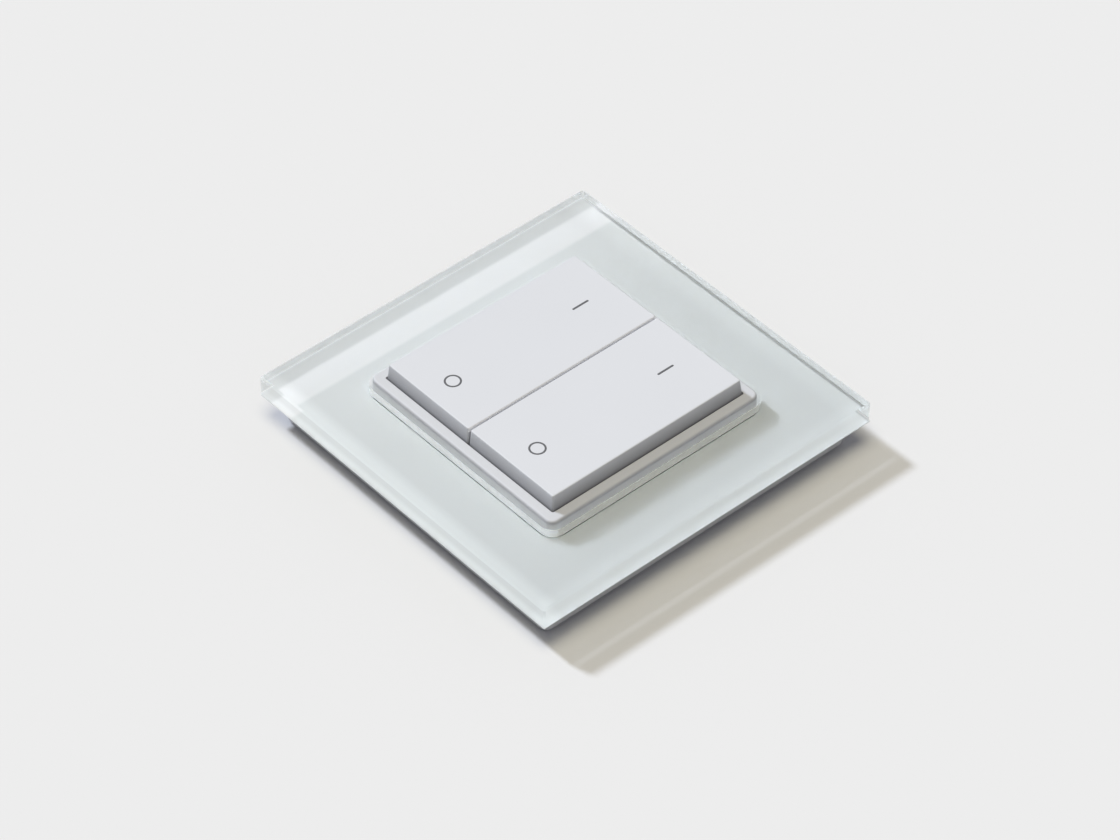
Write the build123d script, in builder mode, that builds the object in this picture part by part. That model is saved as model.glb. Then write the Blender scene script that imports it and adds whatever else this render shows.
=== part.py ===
from build123d import *
from math import radians, sin, tan
import os

os.makedirs("parts", exist_ok=True)

# Wireless light switch with two rockers in a clear glass plate, lying on its back.
# X runs to the right, Y up towards the bar marks, Z out of the wall.
# The origin is the centre of the rear face that rests on the wall. Sizes are in millimetres.

# Glass plate
glass_size = 86.0
glass_thickness = 5.0
glass_arris = 0.4
glass_border = 3.2
glass_opening_corner = 3.0

# White film and tape behind the glass
film_thickness = 0.15
film_margin = 0.1
tape_thickness = 0.35
tape_width = 3.6

# Carrier frame under the glass
carrier_corner = 1.8
carrier_height = 5.6
carrier_foot_gap = 0.4
carrier_upright = 2.2
carrier_draw_in = 2.4
carrier_clearance = 0.3
carrier_wall = 1.8
carrier_flange = 1.5
carrier_rib = 1.0
carrier_rib_spacing = 16.0
carrier_rib_lift = 0.4

# Mounting plate on the wall
plate_thickness = 1.6
plate_clearance = 0.4
plate_corner = 2.0
screw_spacing = 60.0
screw_slot_width = 4.2
screw_slot_length = 6.0
screw_head_width = 7.4
screw_head_depth = 0.8
pad_size = 14.0
pad_thickness = 0.8
pad_edge = 1.6
pad_margin = 0.3

# Snap hooks between carrier and plate
hook_wall_gap = 2.8
hook_width = 6.0
hook_leg = 1.2
hook_barb = 0.5
hook_barb_height = 0.4
hook_clearance = 0.25
hook_sideways = 16.0

# Collar round the rockers
collar_wall = 2.3
collar_gap = 0.9
collar_corner = 1.8
collar_proud = 1.0
collar_edge_round = 0.6
collar_lip_depth = 2.2
collar_lower_wall = 1.8
collar_clip_width = 5.0
collar_clip_offset = 14.0
collar_clip_height = 3.6
collar_inner_corner = 0.4
collar_post_thickness = 1.2
collar_post_play = 0.15
collar_nose = 0.9
collar_nose_height = 0.8
collar_window_play = 0.2
collar_notch_width = 9.0
collar_notch_height = 1.8

# Rockers
rocker_field = 49.3
rocker_slot = 0.55
rocker_gap = 0.5
rocker_proud = 3.6
rocker_depth = 6.5
rocker_skin = 1.8
rocker_wall = 1.5
rocker_draft = 5.0
rocker_gap_draft = 2.5
rocker_edge_round = 0.25
rocker_corner_round = 0.4
rocker_rib = 0.8
rocker_rib_depth = 0.5
rocker_lip = 0.4
rocker_tilt = 3.0

# Rocker pivots
axle_radius = 0.9
pivot_drop = 0.2
axle_clearance = 0.06
axle_reach = 2.2
clip_wall = 0.8
clip_thickness = 1.3
clip_side_play = 0.25
clip_grip = 0.45
web_width = 1.8
boss_radius = 1.4
boss_length = 2.0
well_wall = 0.6
well_play = 0.8

# Transmitter housing
module_corner = 1.5
module_wall = 1.2
tray_height = 7.4
tray_floor = 1.0
cover_height = 3.6
cover_skin = 1.2

# Circuit board and its parts
board_clearance = 0.4
board_thickness = 0.8
board_lift = 0.4
post_size = 3.6
screw_inset = 3.2
screw_radius = 0.8
screw_head_radius = 1.5
screw_head_height = 0.8
screw_length = 7.0
screw_clearance = 0.05
can_edge = 1.9
can_length = 10.0
can_width = 10.0
can_height = 0.9
can_round = 0.6
chip_size = 3.0
chip_height = 0.8
parts_edge = 7.9
chip_y = 2.5
passive_y = -3.5
passive_length = 1.6
passive_width = 0.8
antenna_wire = 0.6
antenna_length = 20.0
antenna_inset = 0.8

# Contact mat
mat_width = 7.0
mat_end = 3.5
mat_thickness = 0.5
dome_side_inset = 8.8
dome_end_inset = 5.8
dome_base_radius = 2.2
dome_top_radius = 1.2
dome_proud = 0.6
dome_window_clearance = 0.4
dome_gap = 0.3

# Energy bow round the transmitter
bow_bar = 1.1
bow_clearance = 0.5
bow_height = 2.0
bow_tab_width = 6.0
bow_side_gap = 0.49
bow_tab_clearance = 0.2
bow_yoke_width = 2.0
bow_yoke_height = 1.0
bow_travel = 1.2

# Towers that hold the transmitter on the mounting plate
tower_thickness = 1.3
tower_clearance = 0.1
tower_width = 6.0
tower_height = 4.8
tower_nose = 0.5
tower_nose_height = 1.0
locating_wall = 1.0
locating_height = 1.2

# Generator inside the tray
lever_pivot_inset = 5.8
lever_width = 6.0
lever_thickness = 0.8
lever_drop = 1.3
lever_gap = 0.15
lever_hub_radius = 1.3
lever_pin_radius = 0.6
lever_pin_clearance = 0.05
pin_post_width = 2.0
pin_post_play = 0.4
magnet_length = 8.0
magnet_depth = 5.0
magnet_height = 1.2
pole_thickness = 0.5
pole_overhang = 1.6
core_gap = 0.4
core_bar = 2.4
core_height = 1.8
core_side_gap = 4.2
coil_inset = 4.8
coil_end_gap = 1.2
coil_edge = 0.6
bobbin_flange = 0.8
bobbin_wall = 0.6
bobbin_play = 0.1
bobbin_width = 6.8
spring_width = 5.0
spring_thickness = 0.2
spring_anchor_inset = 2.3
spring_reach = 9.0
spring_anchor_height = 0.5
spring_anchor_length = 3.0

# Heights that follow from the sizes above
carrier_top = carrier_foot_gap + carrier_height
glass_underside = carrier_top + tape_thickness + film_thickness
glass_top = glass_underside + glass_thickness
collar_top = glass_top + collar_proud
rocker_top = collar_top + rocker_proud
rocker_under = rocker_top - rocker_skin
module_base = plate_thickness
floor_top = module_base + tray_floor
tray_top = module_base + tray_height
cover_top = tray_top + cover_height
pivot_z = cover_top - pivot_drop
well_bottom = cover_top - cover_skin
hook_ledge = carrier_foot_gap + hook_barb_height
board_bottom = tray_top + board_lift
board_top = board_bottom + board_thickness
mat_top = board_top + mat_thickness
dome_top = cover_top + dome_proud
lever_top = tray_top - lever_drop
lever_under = lever_top - lever_thickness
yoke_bottom = lever_top + lever_gap
bow_top = yoke_bottom + bow_yoke_height

# Widths that follow, from the rockers outwards
collar_opening = rocker_field + 2 * rocker_slot
collar_size = collar_opening + 2 * collar_wall
collar_lower_opening = collar_size - 2 * collar_lower_wall
glass_opening = collar_size + 2 * collar_gap
film_cut_back = glass_arris + film_margin
carrier_size = glass_size - 2 * glass_border
carrier_top_size = carrier_size - 2 * carrier_draw_in
carrier_inside = carrier_size - 2 * carrier_wall
carrier_opening = glass_opening + 2 * carrier_clearance
plate_size = carrier_inside - 2 * plate_clearance
hook_offset = carrier_inside / 2 - hook_wall_gap
pad_offset = plate_size / 2 - pad_edge - pad_size / 2

# Widths that follow, from the rockers inwards
draft_height = rocker_proud + rocker_slot / 2
side_spread = draft_height * tan(radians(rocker_draft))
gap_spread = draft_height * tan(radians(rocker_gap_draft))
cap_left = rocker_gap / 2
cap_right = rocker_field / 2
cap_middle = (cap_left + cap_right) / 2
foot_left = cap_left - gap_spread
foot_right = cap_right + side_spread
hollow_right = foot_right - rocker_wall
bow_outside = 2 * (hollow_right - bow_side_gap)
bow_inside = bow_outside - 2 * bow_bar
module_size = bow_inside - 2 * (bow_clearance + tower_thickness + tower_clearance)
inside_size = module_size - 2 * module_wall
board_size = inside_size - 2 * board_clearance
post_grid = module_size - 2 * screw_inset
screw_places = ((post_grid / 2, post_grid / 2), (-post_grid / 2, -post_grid / 2))
dome_x = inside_size / 2 - dome_side_inset
dome_y = inside_size / 2 - dome_end_inset
lever_pivot_y = inside_size / 2 - lever_pivot_inset


def square_ring(outer, outer_corner, inner, inner_corner):
    # A square outline with a square opening, both with rounded corners
    RectangleRounded(outer, outer, outer_corner)
    RectangleRounded(inner, inner, inner_corner, mode=Mode.SUBTRACT)


# Glass plate: flat sheet with a ground arris on every outer edge and on the opening
with BuildPart() as glass_plate:
    with BuildSketch(Plane.XY.offset(glass_underside)):
        Rectangle(glass_size, glass_size)
        RectangleRounded(glass_opening, glass_opening, glass_opening_corner, mode=Mode.SUBTRACT)
    extrude(amount=glass_thickness)
    upright_edges = glass_plate.edges().filter_by(Axis.Z).sort_by(lambda edge: abs(edge.center().X))[-4:]
    chamfer(upright_edges, glass_arris)
    top_edges = glass_plate.faces().sort_by(Axis.Z)[-1].edges()
    chamfer(top_edges, glass_arris)
    under_edges = glass_plate.faces().sort_by(Axis.Z)[0].edges()
    chamfer(under_edges, glass_arris)
glass_plate.part.label = "glass_plate"
export_step(glass_plate.part, "parts/glass_plate.step")

# White film over the whole flat rear of the glass, up to the ground arrises
film_size = glass_size - 2 * film_cut_back
film_opening = glass_opening + 2 * film_cut_back
with BuildPart() as backing_film:
    with BuildSketch(Plane.XY.offset(glass_underside)):
        Rectangle(film_size, film_size)
        RectangleRounded(film_opening, film_opening, glass_opening_corner + film_cut_back, mode=Mode.SUBTRACT)
    extrude(amount=-film_thickness)
backing_film.part.label = "backing_film"
export_step(backing_film.part, "parts/backing_film.step")

# Foam tape that bonds the filmed glass to the carrier, along the middle of the flange
tape_middle = (carrier_opening + carrier_top_size) / 2
with BuildPart() as bonding_tape:
    with BuildSketch(Plane.XY.offset(carrier_top)):
        Rectangle(tape_middle + tape_width, tape_middle + tape_width)
        Rectangle(tape_middle - tape_width, tape_middle - tape_width, mode=Mode.SUBTRACT)
    extrude(amount=tape_thickness)
bonding_tape.part.label = "bonding_tape"
export_step(bonding_tape.part, "parts/bonding_tape.step")

# Carrier frame: skirt that draws in above an upright foot, flange under the tape, ribs, four snap legs
flange_under = carrier_top - carrier_flange
shoulder = carrier_foot_gap + carrier_upright
inner_draw_in = carrier_draw_in * (flange_under - shoulder) / (carrier_top - shoulder)
carrier_roof_size = carrier_inside - 2 * inner_draw_in
rib_depth = (carrier_inside - carrier_opening) / 2
rib_rows = (carrier_opening + carrier_inside) / 2
with BuildPart() as frame_carrier:
    with BuildSketch(Plane.XY.offset(carrier_foot_gap)):
        RectangleRounded(carrier_size, carrier_size, carrier_corner)
    extrude(amount=carrier_upright)
    with BuildSketch(Plane.XY.offset(shoulder)):
        RectangleRounded(carrier_size, carrier_size, carrier_corner)
    with BuildSketch(Plane.XY.offset(carrier_top)):
        RectangleRounded(carrier_top_size, carrier_top_size, carrier_corner)
    loft(ruled=True)
    with BuildSketch(Plane.XY.offset(carrier_foot_gap)):
        Rectangle(carrier_inside, carrier_inside)
    extrude(amount=carrier_upright, mode=Mode.SUBTRACT)
    with BuildSketch(Plane.XY.offset(shoulder)):
        Rectangle(carrier_inside, carrier_inside)
    with BuildSketch(Plane.XY.offset(flange_under)):
        Rectangle(carrier_roof_size, carrier_roof_size)
    loft(ruled=True, mode=Mode.SUBTRACT)
    with BuildSketch(Plane.XY.offset(flange_under)):
        RectangleRounded(carrier_opening, carrier_opening, glass_opening_corner + carrier_clearance)
    extrude(amount=carrier_flange, mode=Mode.SUBTRACT)
    foot_edges = frame_carrier.faces().sort_by(Axis.Z)[0].outer_wire().edges()
    chamfer(foot_edges, carrier_foot_gap)
    # Ribs stiffen the corner between skirt and flange and stop above the mounting plate
    with BuildSketch(Plane.XY.offset(flange_under)):
        with GridLocations(carrier_rib_spacing, rib_rows, 4, 2):
            Rectangle(carrier_rib, rib_depth)
        with GridLocations(rib_rows, carrier_rib_spacing, 2, 4):
            Rectangle(rib_depth, carrier_rib)
    extrude(amount=plate_thickness + carrier_rib_lift - flange_under)
    # Snap legs reach through the plate's windows; each ends in a barb that faces outwards
    for turn in range(4):
        with BuildSketch(Plane.XY.offset(flange_under).rotated((0, 0, 90 * turn))):
            with Locations((hook_sideways, hook_offset)):
                Rectangle(hook_width, hook_leg)
        extrude(amount=-(flange_under - carrier_foot_gap))
        with BuildSketch(Plane.XY.offset(carrier_foot_gap).rotated((0, 0, 90 * turn))):
            with Locations((hook_sideways, hook_offset + hook_barb / 2)):
                Rectangle(hook_width, hook_leg + hook_barb)
        extrude(amount=hook_barb_height)
frame_carrier.part.label = "frame_carrier"
export_step(frame_carrier.part, "parts/frame_carrier.step")

# Mounting plate: flat rear face, countersunk slots, pad recesses, hook windows, posts and towers
collar_post_y = collar_lower_opening / 2 - collar_post_play - collar_post_thickness / 2
tower_y = module_size / 2 + tower_clearance + tower_thickness / 2
with BuildPart() as mounting_plate:
    with BuildSketch():
        RectangleRounded(plate_size, plate_size, plate_corner)
    extrude(amount=plate_thickness)
    # Recesses for the adhesive pads in the rear face
    with BuildSketch():
        with GridLocations(2 * pad_offset, 2 * pad_offset, 2, 2):
            Rectangle(pad_size, pad_size)
    extrude(amount=pad_thickness, mode=Mode.SUBTRACT)
    # Locating wall round the transmitter
    with BuildSketch(Plane.XY.offset(plate_thickness)):
        locating_inside = module_size + 2 * tower_clearance
        locating_outside = locating_inside + 2 * locating_wall
        Rectangle(locating_outside, locating_outside)
        Rectangle(locating_inside, locating_inside, mode=Mode.SUBTRACT)
    extrude(amount=locating_height)
    for turn in range(4):
        # Slot for a wall screw, with a widened seat that sinks the screw's head
        with BuildSketch(Plane.XY.rotated((0, 0, 90 * turn))):
            with Locations((screw_spacing / 2, 0)):
                SlotOverall(screw_slot_length, screw_slot_width)
        extrude(amount=plate_thickness, mode=Mode.SUBTRACT)
        with BuildSketch(Plane.XY.offset(plate_thickness).rotated((0, 0, 90 * turn))):
            with Locations((screw_spacing / 2, 0)):
                seat_extra = screw_head_width - screw_slot_width
                SlotOverall(screw_slot_length + seat_extra, screw_head_width)
        extrude(amount=-screw_head_depth, taper=45, mode=Mode.SUBTRACT)
        # Window for a snap leg, wider behind so that the barb catches under its edge
        with BuildSketch(Plane.XY.rotated((0, 0, 90 * turn))):
            with Locations((hook_sideways, hook_offset)):
                Rectangle(hook_width + 2 * hook_clearance, hook_leg + 2 * hook_clearance)
        extrude(amount=plate_thickness, mode=Mode.SUBTRACT)
        with BuildSketch(Plane.XY.rotated((0, 0, 90 * turn))):
            with Locations((hook_sideways, hook_offset + hook_barb / 2)):
                Rectangle(hook_width + 2 * hook_clearance, hook_leg + hook_barb + 2 * hook_clearance)
        extrude(amount=hook_ledge, mode=Mode.SUBTRACT)
        # Post inside the collar, with a nose that enters the collar's window
        with BuildSketch(Plane.XY.offset(plate_thickness).rotated((0, 0, 90 * turn))):
            with Locations((collar_clip_offset, collar_post_y), (-collar_clip_offset, collar_post_y)):
                Rectangle(collar_clip_width, collar_post_thickness)
        extrude(amount=collar_clip_height - plate_thickness + collar_nose_height)
        nose_y = collar_post_y + (collar_post_thickness + collar_nose) / 2
        with BuildSketch(Plane.XY.offset(collar_clip_height).rotated((0, 0, 90 * turn))):
            with Locations((collar_clip_offset, nose_y), (-collar_clip_offset, nose_y)):
                Rectangle(collar_clip_width, collar_nose)
        extrude(amount=collar_nose_height)
    # Two towers with noses that lock into the sides of the transmitter tray
    for turn in (0, 180):
        with BuildSketch(Plane.XY.offset(plate_thickness).rotated((0, 0, turn))):
            with Locations((0, tower_y)):
                Rectangle(tower_width, tower_thickness)
        extrude(amount=tower_height)
        with BuildSketch(Plane.XY.offset(plate_thickness + tower_height).rotated((0, 0, turn))):
            with Locations((0, tower_y - (tower_thickness + tower_nose) / 2)):
                Rectangle(tower_width, tower_nose)
        extrude(amount=-tower_nose_height)
mounting_plate.part.label = "mounting_plate"
export_step(mounting_plate.part, "parts/mounting_plate.step")

# Adhesive pads, flush with the rear face
with BuildPart() as adhesive_pads:
    with BuildSketch():
        with GridLocations(2 * pad_offset, 2 * pad_offset, 2, 2):
            Rectangle(pad_size - 2 * pad_margin, pad_size - 2 * pad_margin)
    extrude(amount=pad_thickness)
adhesive_pads.part.label = "adhesive_pads"
export_step(adhesive_pads.part, "parts/adhesive_pads.step")

# Collar: square tube round the rockers with a rounded outer edge, an inner lip and snap windows
with BuildPart() as collar:
    with BuildSketch(Plane.XY.offset(plate_thickness)):
        RectangleRounded(collar_size, collar_size, collar_corner)
    extrude(amount=collar_top - plate_thickness)
    collar_rim = collar.faces().sort_by(Axis.Z)[-1].edges()
    fillet(collar_rim, collar_edge_round)
    with BuildSketch(Plane.XY.offset(plate_thickness)):
        Rectangle(collar_lower_opening, collar_lower_opening)
    extrude(amount=collar_top - collar_lip_depth - plate_thickness, mode=Mode.SUBTRACT)
    with BuildSketch(Plane.XY.offset(plate_thickness)):
        RectangleRounded(collar_opening, collar_opening, collar_inner_corner)
    extrude(amount=collar_top - plate_thickness, mode=Mode.SUBTRACT)
    window_width = collar_clip_width + 2 * collar_window_play
    window_height = collar_nose_height + 2 * collar_window_play
    with BuildSketch(Plane.XY.offset(collar_clip_height - collar_window_play)):
        for side in (collar_size / 2, -collar_size / 2):
            with Locations((collar_clip_offset, side), (-collar_clip_offset, side)):
                Rectangle(window_width, 2 * collar_lower_wall)
            with Locations((side, collar_clip_offset), (side, -collar_clip_offset)):
                Rectangle(2 * collar_lower_wall, window_width)
    extrude(amount=window_height, mode=Mode.SUBTRACT)
    # Notches in the lower edge pass over the heads of the wall screws
    with BuildSketch(Plane.XY.offset(plate_thickness)):
        Rectangle(2 * collar_size, collar_notch_width)
        Rectangle(collar_notch_width, 2 * collar_size)
    extrude(amount=collar_notch_height, mode=Mode.SUBTRACT)
collar.part.label = "collar"
export_step(collar.part, "parts/collar.step")

# Right rocker: drafted cap with thin walls, ribs, contact posts and two clips for the axles
foot_middle = (foot_left + foot_right) / 2
foot_length = 2 * foot_right
hollow_length = 2 * hollow_right
rocker_bottom = rocker_top - rocker_depth
clip_radius = axle_radius + axle_clearance + clip_wall
inner_clip_x = web_width / 2 + clip_side_play
outer_clip_x = module_size / 2 + clip_side_play
with BuildPart() as rocker_right:
    with BuildSketch(Plane.XY.offset(rocker_top - draft_height)):
        with Locations((foot_middle, 0)):
            RectangleRounded(foot_right - foot_left, foot_length, rocker_corner_round)
    with BuildSketch(Plane.XY.offset(rocker_top)):
        with Locations((cap_middle, 0)):
            RectangleRounded(cap_right - cap_left, rocker_field, rocker_corner_round)
    loft(ruled=True)
    with BuildSketch(Plane.XY.offset(rocker_top - draft_height)):
        with Locations((foot_middle, 0)):
            RectangleRounded(foot_right - foot_left, foot_length, rocker_corner_round)
    extrude(amount=rocker_bottom - rocker_top + draft_height)
    cap_rim = rocker_right.faces().sort_by(Axis.Z)[-1].edges()
    fillet(cap_rim, rocker_edge_round)
    # The hollow is open towards the other rocker, below a shallow lip
    with BuildSketch(Plane.XY.offset(rocker_bottom)):
        with Locations((hollow_right / 2, 0)):
            Rectangle(hollow_right, hollow_length)
    extrude(amount=rocker_under - rocker_lip - rocker_bottom, mode=Mode.SUBTRACT)
    with BuildSketch(Plane.XY.offset(rocker_under)):
        with Locations(((hollow_right + cap_left + rocker_wall) / 2, 0)):
            Rectangle(hollow_right - cap_left - rocker_wall, hollow_length)
    extrude(amount=-rocker_lip, mode=Mode.SUBTRACT)
    # Two shallow ribs along the cap, clear of the bow's tabs
    with BuildSketch(Plane.XY.offset(rocker_under)):
        rib_side = bow_tab_width / 2 + 2 * rocker_rib
        with Locations((cap_middle - rib_side, 0), (cap_middle + rib_side, 0)):
            Rectangle(rocker_rib, hollow_length)
    extrude(amount=-rocker_rib_depth)
    # Square posts above the two domes
    with BuildSketch(Plane.XY.offset(rocker_under)):
        with Locations((dome_x, dome_y), (dome_x, -dome_y)):
            Rectangle(2 * dome_top_radius, 2 * dome_top_radius)
    extrude(amount=dome_top + dome_gap - rocker_under)
    # Spring clips that hook over the axles
    for clip_x in (inner_clip_x, outer_clip_x):
        with BuildSketch(Plane.YZ.offset(clip_x)):
            with Locations((0, pivot_z)):
                Circle(clip_radius)
            with Locations((0, (pivot_z + rocker_under) / 2)):
                Rectangle(2 * clip_radius, rocker_under - pivot_z)
            with Locations((0, pivot_z)):
                Circle(axle_radius + axle_clearance, mode=Mode.SUBTRACT)
            with Locations((0, pivot_z - clip_grip - clip_radius)):
                Rectangle(2 * clip_radius, 2 * clip_radius, mode=Mode.SUBTRACT)
        extrude(amount=clip_thickness)
rocker_right.part.label = "rocker_right"
export_step(rocker_right.part, "parts/rocker_right.step")

# Left rocker: the right one mirrored across the gap
with BuildPart() as rocker_left:
    mirror(rocker_right.part, about=Plane.YZ)
rocker_left.part.label = "rocker_left"
export_step(rocker_left.part, "parts/rocker_left.step")

# Transmitter tray: open box with screw posts, pin posts, slots for the bow and lock notches
pin_z = lever_under + lever_thickness / 2
post_x = lever_width / 2 + pin_post_play + pin_post_width / 2
spring_anchor_y = inside_size / 2 - spring_anchor_inset
with BuildPart() as transmitter_tray:
    with BuildSketch(Plane.XY.offset(module_base)):
        RectangleRounded(module_size, module_size, module_corner)
    extrude(amount=tray_height)
    with BuildSketch(Plane.XY.offset(floor_top)):
        Rectangle(inside_size, inside_size)
    extrude(amount=tray_height - tray_floor, mode=Mode.SUBTRACT)
    with BuildSketch(Plane.XY.offset(floor_top)):
        with GridLocations(post_grid, post_grid, 2, 2):
            Rectangle(post_size, post_size)
    extrude(amount=board_bottom - floor_top)
    with BuildSketch(Plane.XY.offset(board_bottom)):
        with Locations(*screw_places):
            Circle(screw_radius + screw_clearance)
    extrude(amount=floor_top - board_bottom, mode=Mode.SUBTRACT)
    # Slots that let the bow's yoke move through the side walls
    slot_bottom = yoke_bottom - bow_travel - bow_clearance / 2
    with BuildSketch(Plane.XY.offset(slot_bottom)):
        Rectangle(2 * module_size, bow_yoke_width + bow_clearance)
    extrude(amount=tray_top - slot_bottom, mode=Mode.SUBTRACT)
    # Notches for the towers' noses
    notch_height = tower_nose_height + 2 * tower_clearance
    with BuildSketch(Plane.XY.offset(plate_thickness + tower_height + tower_clearance)):
        for side in (module_size / 2, -module_size / 2):
            with Locations((0, side)):
                Rectangle(tower_width + bow_clearance, module_wall)
    extrude(amount=-notch_height, mode=Mode.SUBTRACT)
    # Posts that carry the lever's pin
    with BuildSketch(Plane.XY.offset(floor_top)):
        with Locations((post_x, lever_pivot_y), (-post_x, lever_pivot_y)):
            Rectangle(pin_post_width, 2 * lever_hub_radius)
    extrude(amount=pin_z + lever_hub_radius - floor_top)
    with BuildSketch(Plane.YZ.offset(-post_x - pin_post_width / 2)):
        with Locations((lever_pivot_y, pin_z)):
            Circle(lever_pin_radius + lever_pin_clearance)
    extrude(amount=2 * post_x + pin_post_width, mode=Mode.SUBTRACT)
    # Block that the leaf spring is fixed on
    with BuildSketch(Plane.XY.offset(floor_top)):
        with Locations((0, spring_anchor_y)):
            Rectangle(spring_width, spring_anchor_length)
    extrude(amount=spring_anchor_height)
transmitter_tray.part.label = "transmitter_tray"
export_step(transmitter_tray.part, "parts/transmitter_tray.step")

# Transmitter cover: lid with dome windows, screw seats, a centre web and the axles for the rockers
pocket_reach = web_width / 2 + axle_reach
dome_window = 2 * (dome_base_radius + dome_window_clearance)
with BuildPart() as transmitter_cover:
    with BuildSketch(Plane.XY.offset(tray_top)):
        RectangleRounded(module_size, module_size, module_corner)
    extrude(amount=cover_height)
    with BuildSketch(Plane.XY.offset(tray_top)):
        Rectangle(inside_size, inside_size)
    extrude(amount=cover_height - cover_skin, mode=Mode.SUBTRACT)
    with BuildSketch(Plane.XY.offset(board_top)):
        with GridLocations(post_grid, post_grid, 2, 2):
            Rectangle(post_size, post_size)
    extrude(amount=cover_top - cover_skin - board_top)
    with BuildSketch(Plane.XY.offset(board_top)):
        with Locations(*screw_places):
            Circle(screw_radius + screw_clearance)
    extrude(amount=cover_top - board_top, mode=Mode.SUBTRACT)
    with BuildSketch(Plane.XY.offset(cover_top)):
        with Locations(*screw_places):
            Circle(screw_head_radius + screw_clearance)
    extrude(amount=-screw_head_height, mode=Mode.SUBTRACT)
    with BuildSketch(Plane.XY.offset(cover_top)):
        with GridLocations(2 * dome_x, 2 * dome_y, 2, 2):
            Rectangle(dome_window, dome_window)
    extrude(amount=-cover_skin, mode=Mode.SUBTRACT)
    # Well in the middle that takes the inner clips
    with BuildSketch(Plane.XY.offset(well_bottom - well_wall)):
        Rectangle(2 * (pocket_reach + well_wall), 2 * (clip_radius + well_play + well_wall))
    extrude(amount=cover_top - well_bottom + well_wall)
    with BuildSketch(Plane.XY.offset(well_bottom)):
        Rectangle(2 * pocket_reach, 2 * (clip_radius + well_play))
    extrude(amount=cover_top - well_bottom, mode=Mode.SUBTRACT)
    # Web and side bosses that carry the axles
    with BuildSketch(Plane.XY.offset(well_bottom)):
        Rectangle(web_width, 2 * (clip_radius + well_play))
    extrude(amount=cover_top - well_bottom)
    for boss_x, boss_width in (
        (-web_width / 2, web_width),
        (-module_size / 2, boss_length),
        (module_size / 2 - boss_length, boss_length),
    ):
        with BuildSketch(Plane.YZ.offset(boss_x)):
            with Locations((0, pivot_z)):
                Circle(boss_radius)
        extrude(amount=boss_width)
    with BuildSketch(Plane.YZ.offset(-pocket_reach)):
        with Locations((0, pivot_z)):
            Circle(axle_radius)
    extrude(amount=2 * pocket_reach)
    for axle_x in (-module_size / 2 - axle_reach, module_size / 2 - boss_length):
        with BuildSketch(Plane.YZ.offset(axle_x)):
            with Locations((0, pivot_z)):
                Circle(axle_radius)
        extrude(amount=axle_reach + boss_length)
transmitter_cover.part.label = "transmitter_cover"
export_step(transmitter_cover.part, "parts/transmitter_cover.step")

# Two screws on a diagonal, through cover and board into the tray's posts
with BuildPart() as cover_screws:
    with BuildSketch(Plane.XY.offset(cover_top)):
        with Locations(*screw_places):
            Circle(screw_head_radius)
    extrude(amount=-screw_head_height)
    with BuildSketch(Plane.XY.offset(cover_top)):
        with Locations(*screw_places):
            Circle(screw_radius)
    extrude(amount=-screw_length)
cover_screws.part.label = "cover_screws"
export_step(cover_screws.part, "parts/cover_screws.step")

# Circuit board on the tray's posts
with BuildPart() as circuit_board:
    with BuildSketch(Plane.XY.offset(board_bottom)):
        Rectangle(board_size, board_size)
        with Locations(*screw_places):
            Circle(screw_radius + screw_clearance, mode=Mode.SUBTRACT)
    extrude(amount=board_thickness)
circuit_board.part.label = "circuit_board"
export_step(circuit_board.part, "parts/circuit_board.step")

# Radio can: drawn metal lid with rounded corners, beside the centre well
can_x = board_size / 2 - can_edge - can_length / 2
with BuildPart() as radio_can:
    with BuildSketch(Plane.XY.offset(board_top)):
        with Locations((-can_x, 0)):
            RectangleRounded(can_length, can_width, can_round)
    extrude(amount=can_height)
radio_can.part.label = "radio_can"
export_step(radio_can.part, "parts/radio_can.step")

# Small board parts: one converter chip and two rows of chip resistors and capacitors
parts_x = board_size / 2 - parts_edge
with BuildPart() as board_parts:
    with BuildSketch(Plane.XY.offset(board_top)):
        with Locations((parts_x, chip_y)):
            Rectangle(chip_size, chip_size)
        with Locations((parts_x, passive_y)):
            with GridLocations(2 * passive_length, 2 * passive_width, 3, 2):
                Rectangle(passive_length, passive_width)
    extrude(amount=chip_height)
board_parts.part.label = "board_parts"
export_step(board_parts.part, "parts/board_parts.step")

# Wire antenna along the board's right edge
antenna_x = board_size / 2 - antenna_inset
with BuildPart() as wire_antenna:
    with BuildSketch(Plane.XZ.offset(-antenna_length / 2)):
        with Locations((antenna_x, board_top + antenna_wire / 2)):
            Circle(antenna_wire / 2)
    extrude(amount=antenna_length)
wire_antenna.part.label = "wire_antenna"
export_step(wire_antenna.part, "parts/wire_antenna.step")

# Silicone contact mat: two strips on the board, with a dome under each rocker end
dome_height = dome_top - mat_top
mat_length = 2 * (dome_x + mat_end)
with BuildPart() as contact_mat:
    with BuildSketch(Plane.XY.offset(board_top)):
        with GridLocations(0, 2 * dome_y, 1, 2):
            Rectangle(mat_length, mat_width)
    extrude(amount=mat_thickness)
    for dome_place in ((dome_x, dome_y), (-dome_x, dome_y), (dome_x, -dome_y), (-dome_x, -dome_y)):
        with Locations((*dome_place, mat_top + dome_height / 2)):
            Cone(dome_base_radius, dome_top_radius, dome_height)
contact_mat.part.label = "contact_mat"
export_step(contact_mat.part, "parts/contact_mat.step")

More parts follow.
